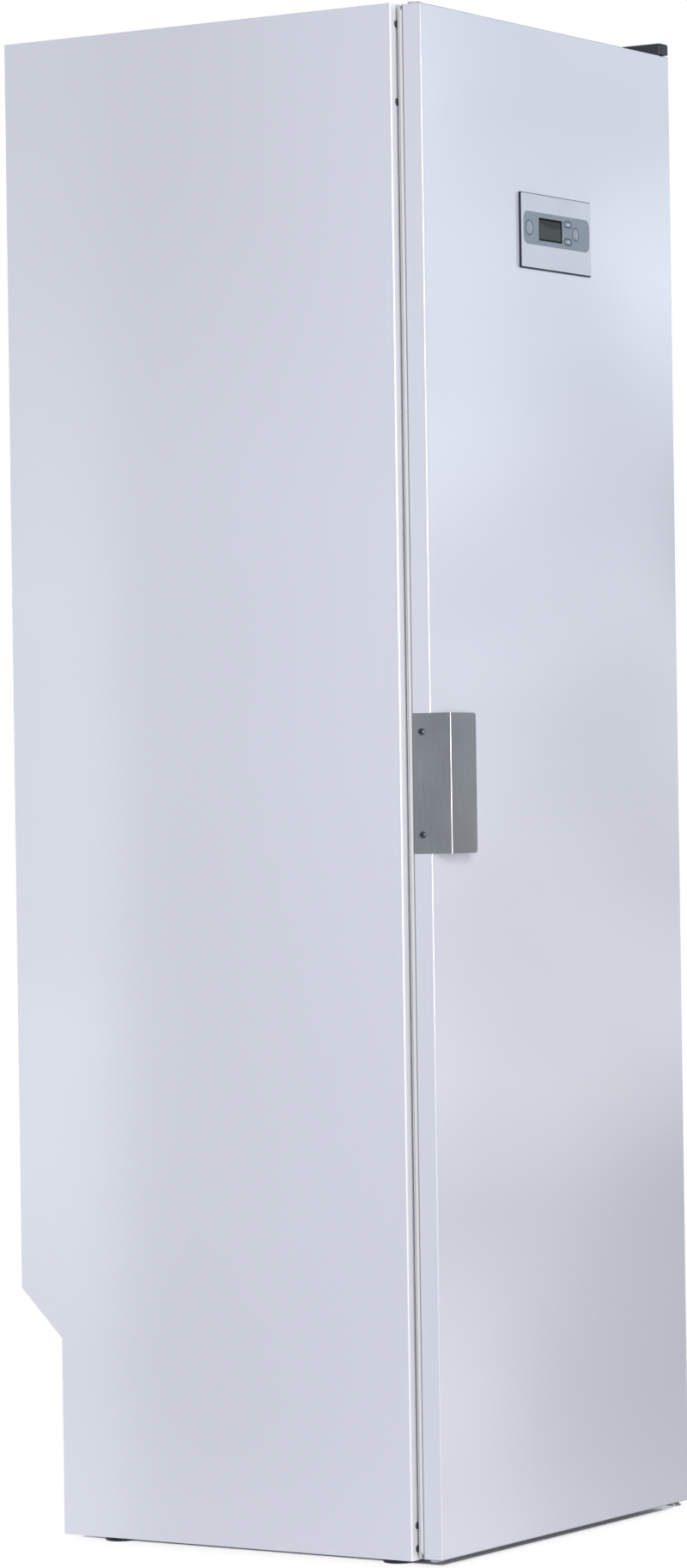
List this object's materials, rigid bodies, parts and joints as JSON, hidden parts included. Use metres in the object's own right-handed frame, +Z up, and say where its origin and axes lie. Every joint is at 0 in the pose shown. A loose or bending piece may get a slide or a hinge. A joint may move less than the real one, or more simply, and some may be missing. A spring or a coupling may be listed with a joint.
{
  "type": "vented drying cabinet",
  "caption": "Tall sheet metal clothes drying cabinet with a full height hinged door, control panel, hanging racks, fan, heater and roof exhaust.",
  "frame": {"origin": "middle of the outline's box, on the floor", "axes": "+Z up, the door faces -Y, the hinges are at +X"},
  "size_m": [0.5988, 0.6378, 1.885],
  "materials": {
    "white_paint": "smooth gloss powder paint",
    "liner_paint": "smooth white paint",
    "rack_coating": "white epoxy coating on round steel",
    "stainless": "vertical brushed stainless steel",
    "zinc_steel": "galvanised sheet and zinc plated steel",
    "heater_sheath": "dark oxidised heater sheath",
    "black_plastic": "fine textured dark plastic",
    "grey_plastic": "light grey plastic",
    "gasket_rubber": "soft grey vinyl",
    "insulation": "light mineral wool board",
    "control_plate": "clear coated silver plate",
    "keypad": "grey keypad foil",
    "keys": "grey keys",
    "display": "dark display pane",
    "circuit_board": "green board"
  },
  "bodies": {
    "cabinet": {"side_panel_left": "white_paint", "side_panel_right": "white_paint", "rear_panel": "white_paint", "roof_panel": "white_paint", "base_pan": "white_paint", "fascia_panel": "white_paint", "sill_rail": "white_paint", "inner_liner": "liner_paint", "floor_tray": "liner_paint", "ceiling_panel": "liner_paint", "lint_filter": "grey_plastic", "fan_scroll": "zinc_steel", "fan_motor": "black_plastic", "heater_box": "zinc_steel", "heater_element": "heater_sheath", "limit_thermostats": "black_plastic", "terminal_box": "grey_plastic", "exhaust_duct": "zinc_steel", "exhaust_spigot": "zinc_steel", "inlet_grille": "black_plastic", "cable_gland": "black_plastic", "hinge_hole_plugs": "black_plastic", "upper_hinge_arm": "zinc_steel", "lower_hinge_bracket": "zinc_steel", "hinge_pins": "zinc_steel", "hinge_screws": "zinc_steel", "hinge_cover": "black_plastic", "rack_brackets": "grey_plastic", "top_rack": "rack_coating", "boot_rack": "rack_coating", "foot_nuts": "zinc_steel", "rear_screws": "zinc_steel"},
    "door": {"door_skin": "white_paint", "door_insulation": "insulation", "door_inner_pan": "liner_paint", "door_gasket": "gasket_rubber", "door_hinge_bushes": "grey_plastic", "spare_bushes": "grey_plastic", "glove_rack": "rack_coating", "handle": "stainless", "handle_screws": "stainless", "handle_nut_plate": "zinc_steel", "control_plate": "control_plate", "keypad_band": "keypad", "display_window": "display", "control_housing": "black_plastic", "circuit_board": "circuit_board"},
    "middle_rack_frame": {"middle_rack": "rack_coating"},
    "lower_rack_frame": {"lower_rack": "rack_coating"},
    "blower": {"blower_wheel": "zinc_steel", "motor_shaft": "zinc_steel"},
    "foot_front_left_body": {"foot_front_left": "black_plastic"},
    "foot_front_right_body": {"foot_front_right": "black_plastic"},
    "foot_rear_left_body": {"foot_rear_left": "black_plastic"},
    "foot_rear_right_body": {"foot_rear_right": "black_plastic"},
    "power_button_body": {"power_button": "keys"},
    "up_button_body": {"up_button": "keys"},
    "down_button_body": {"down_button": "keys"},
    "ok_button_body": {"ok_button": "keys"}
  },
  "joints": [
    {"name": "door_hinge", "type": "hinge", "parent": "cabinet", "child": "door", "pos_m": [0.2874, -0.2739, 0.9], "axis": [0, 0, 1], "range_deg": [0, 120]},
    {"name": "middle_rack_fold", "type": "hinge", "parent": "cabinet", "child": "middle_rack_frame", "pos_m": [0.0019, 0.2171, 1.11], "axis": [-1, 0, 0], "range_deg": [0, 85]},
    {"name": "lower_rack_fold", "type": "hinge", "parent": "cabinet", "child": "lower_rack_frame", "pos_m": [0.0019, 0.2171, 0.67], "axis": [-1, 0, 0], "range_deg": [0, 85]},
    {"name": "blower_spin", "type": "hinge", "parent": "cabinet", "child": "blower", "pos_m": [0.0459, -0.0629, 1.64], "axis": [0, 0, 1], "continuous": true},
    {"name": "foot_front_left_screw_out", "type": "slide", "parent": "cabinet", "child": "foot_front_left_body", "axis": [0, 0, -1], "range_m": [0, 0.015]},
    {"name": "foot_front_right_screw_out", "type": "slide", "parent": "cabinet", "child": "foot_front_right_body", "axis": [0, 0, -1], "range_m": [0, 0.015]},
    {"name": "foot_rear_left_screw_out", "type": "slide", "parent": "cabinet", "child": "foot_rear_left_body", "axis": [0, 0, -1], "range_m": [0, 0.015]},
    {"name": "foot_rear_right_screw_out", "type": "slide", "parent": "cabinet", "child": "foot_rear_right_body", "axis": [0, 0, -1], "range_m": [0, 0.015]},
    {"name": "power_button_press", "type": "slide", "parent": "door", "child": "power_button_body", "axis": [0, 1, 0], "range_m": [0, 0.0005], "stiffness_N_per_m": 400},
    {"name": "up_button_press", "type": "slide", "parent": "door", "child": "up_button_body", "axis": [0, 1, 0], "range_m": [0, 0.0005], "stiffness_N_per_m": 400},
    {"name": "down_button_press", "type": "slide", "parent": "door", "child": "down_button_body", "axis": [0, 1, 0], "range_m": [0, 0.0005], "stiffness_N_per_m": 400},
    {"name": "ok_button_press", "type": "slide", "parent": "door", "child": "ok_button_body", "axis": [0, 1, 0], "range_m": [0, 0.0005], "stiffness_N_per_m": 400}
  ]
}
